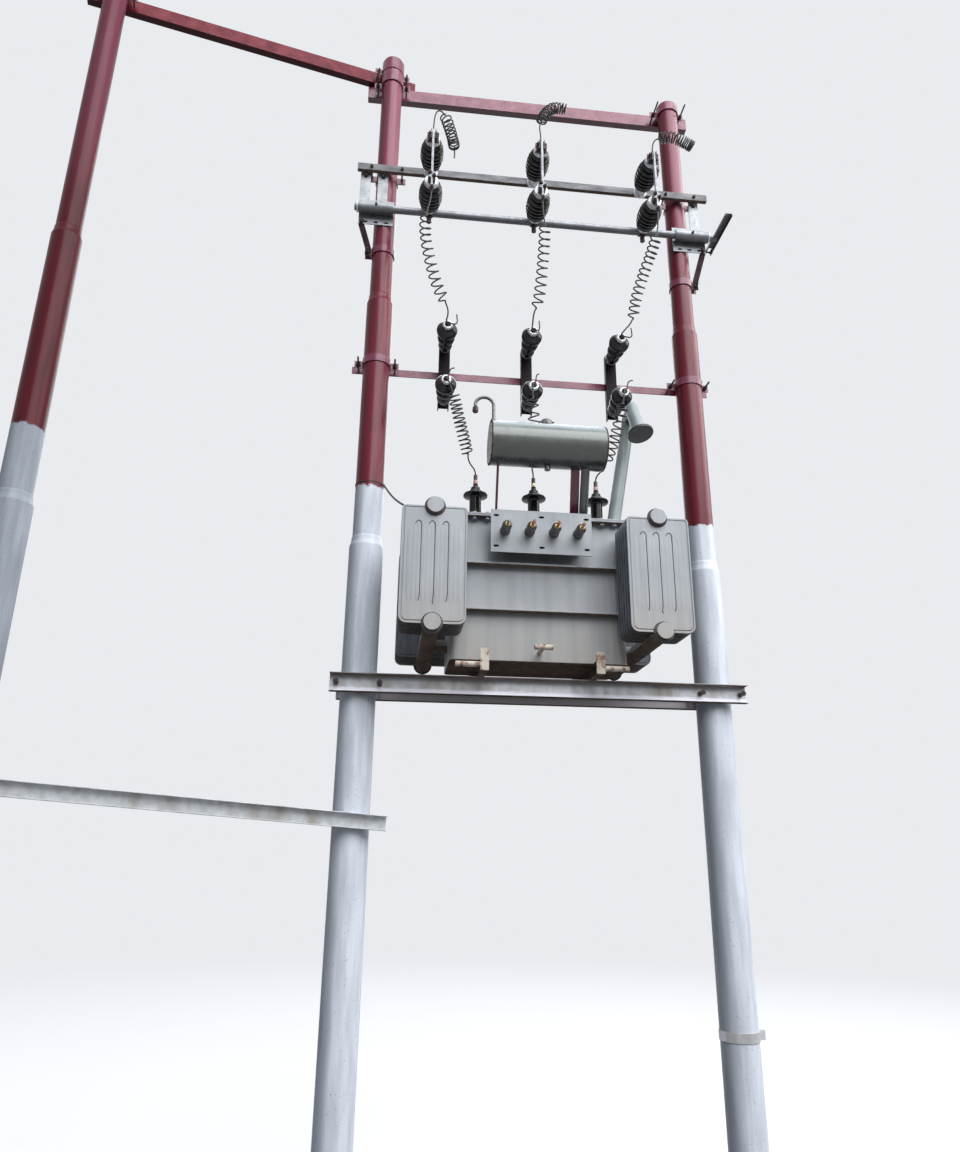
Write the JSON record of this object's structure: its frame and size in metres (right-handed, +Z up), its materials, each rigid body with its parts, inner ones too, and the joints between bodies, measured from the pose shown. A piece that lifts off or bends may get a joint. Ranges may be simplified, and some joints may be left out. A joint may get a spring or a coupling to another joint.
{
  "type": "pole mounted transformer",
  "caption": "Tube poles carrying an oil filled transformer with side radiators, horn gap fuses and a gang operated air break switch, with coiled jumpers.",
  "frame": {"origin": "centre of the foot of the middle pole, at ground level", "axes": "+X along the row towards the right pole, +Y away from the viewer, +Z up"},
  "size_m": [4.1885, 1.0872, 7.115],
  "materials": {
    "pole_paint": "silver aluminium paint below, maroon above",
    "maroon_paint": "glossy maroon enamel",
    "silver_paint": "silver aluminium paint",
    "galvanised_steel": "weathered galvanising",
    "dark_steel": "dull grey",
    "porcelain": "dark glaze",
    "brass_studs": "tarnished",
    "contact_metal": "dull",
    "drum_paint": "green grey enamel",
    "tank_paint": "grey enamel",
    "ivory_paint": "ivory enamel, stained",
    "conductor": "dark oxidised"
  },
  "bodies": {
    "structure": {"arm_clamps": "maroon_paint", "base_channels": "silver_paint", "bearing_brackets": "galvanised_steel", "breather_pipe": "drum_paint", "conservator": "drum_paint", "conservator_supports": "maroon_paint", "drain_valve": "ivory_paint", "explosion_vent": "drum_paint", "fixed_contacts": "contact_metal", "fixed_insulators": "porcelain", "fixed_pedestals": "galvanised_steel", "fuse_arm": "maroon_paint", "fuse_bases": "maroon_paint", "fuse_horns": "contact_metal", "fuse_insulators": "porcelain", "fuse_jumper_left": "conductor", "fuse_jumper_middle": "conductor", "fuse_jumper_right": "conductor", "hanger_plates": "galvanised_steel", "hv_bushings": "porcelain", "line_tail_left": "conductor", "line_tail_middle": "conductor", "line_tail_right": "conductor", "lower_brace": "silver_paint", "lv_bushings": "brass_studs", "lv_pocket": "tank_paint", "oil_pipe": "drum_paint", "pole_band": "silver_paint", "pole_caps": "maroon_paint", "poles": "pole_paint", "radiator_headers": "tank_paint", "radiators_front": "tank_paint", "radiators_rear": "tank_paint", "shaft_sleeves": "galvanised_steel", "skid_lugs": "ivory_paint", "skids": "tank_paint", "strut_clamps": "maroon_paint", "switch_channel": "dark_steel", "switch_jumper_left": "conductor", "switch_jumper_middle": "conductor", "switch_jumper_right": "conductor", "switch_struts": "maroon_paint", "tank": "tank_paint", "tank_cover": "tank_paint", "tank_stiffeners": "tank_paint", "tie_arm": "maroon_paint", "top_arm": "maroon_paint"},
    "switch_shaft": {"operating_shaft": "galvanised_steel", "shaft_saddles": "galvanised_steel", "moving_insulators": "porcelain", "switch_blades": "contact_metal", "operating_crank": "dark_steel"}
  },
  "joints": [
    {"name": "switch_shaft_turn", "type": "hinge", "parent": "structure", "child": "switch_shaft", "pos_m": [1, -0.11445, 5.736], "axis": [1, 0, 0], "range_deg": [0, 65], "deforming": ["switch_jumper_left", "switch_jumper_middle", "switch_jumper_right"]}
  ]
}
